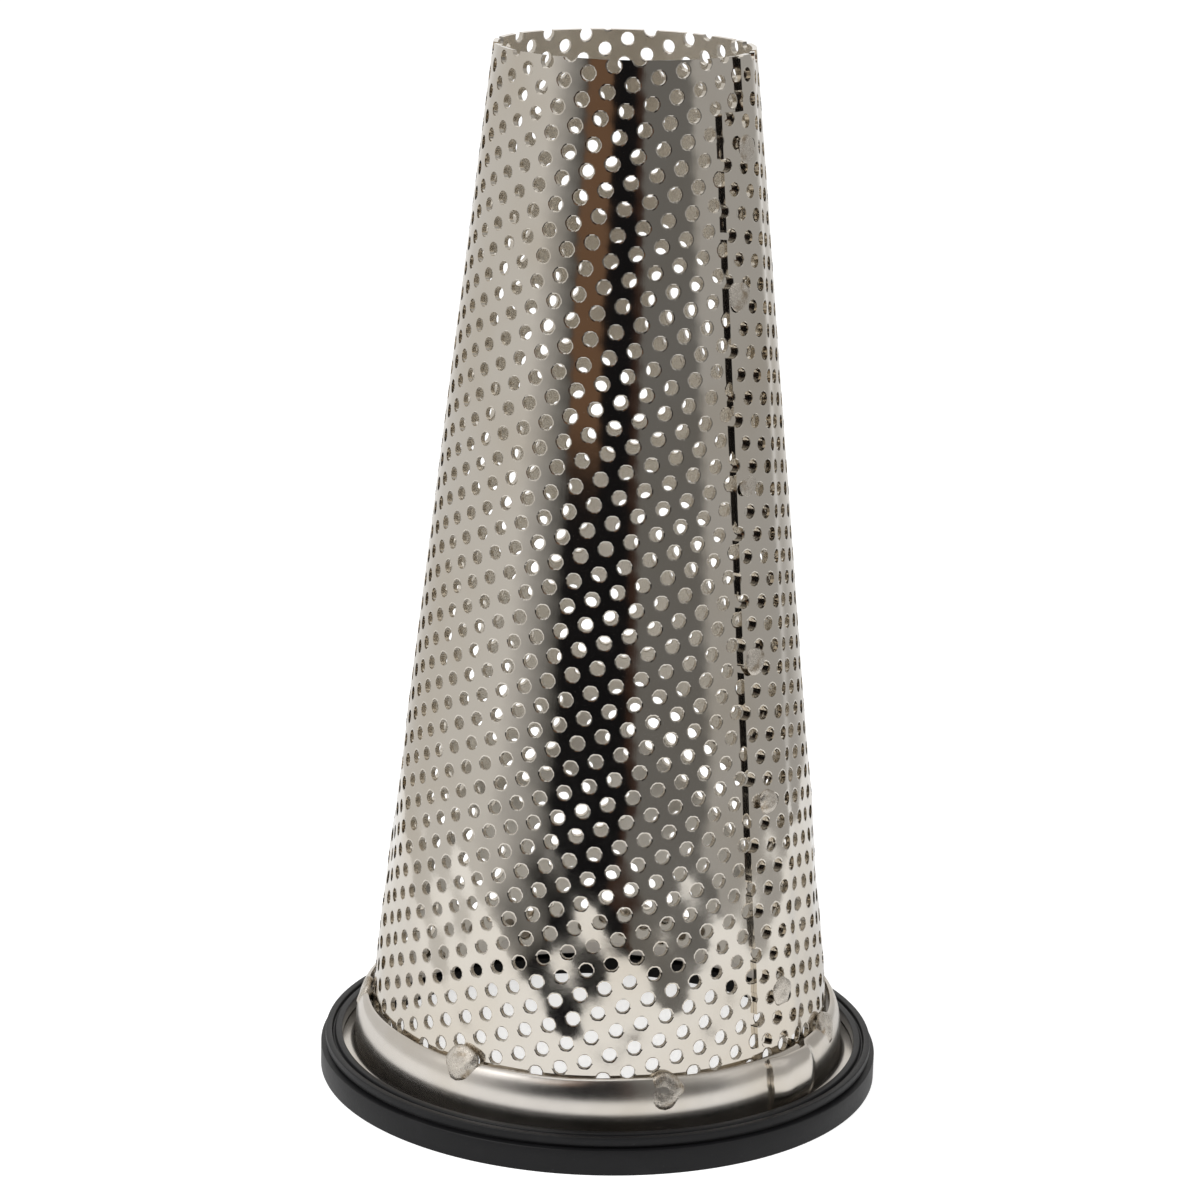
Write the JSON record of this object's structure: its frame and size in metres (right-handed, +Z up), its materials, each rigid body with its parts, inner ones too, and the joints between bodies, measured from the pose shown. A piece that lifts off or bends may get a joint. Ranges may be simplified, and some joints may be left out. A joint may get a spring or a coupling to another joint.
{
  "type": "tomato press strainer cone",
  "caption": "Open perforated metal cone with a lap seam, a welded collar at its wide end and a rubber gasket ring, for straining pressed tomatoes.",
  "frame": {"origin": "centre of the underside of the gasket ring", "axes": "+Z up along the cone's axis, from the wide end to the narrow end; the lap seam is to the right of the front, which is -Y"},
  "size_m": [0.062, 0.062, 0.114],
  "materials": {
    "cone_steel": "bright nickel-plated perforated sheet, polished, slightly warm",
    "collar_steel": "bright nickel-plated plain sheet, polished",
    "gasket_rubber": "black moulded rubber, satin"
  },
  "bodies": {
    "root": {"strainer_cone": "cone_steel", "base_collar": "collar_steel", "gasket_ring": "gasket_rubber"}
  },
  "joints": []
}
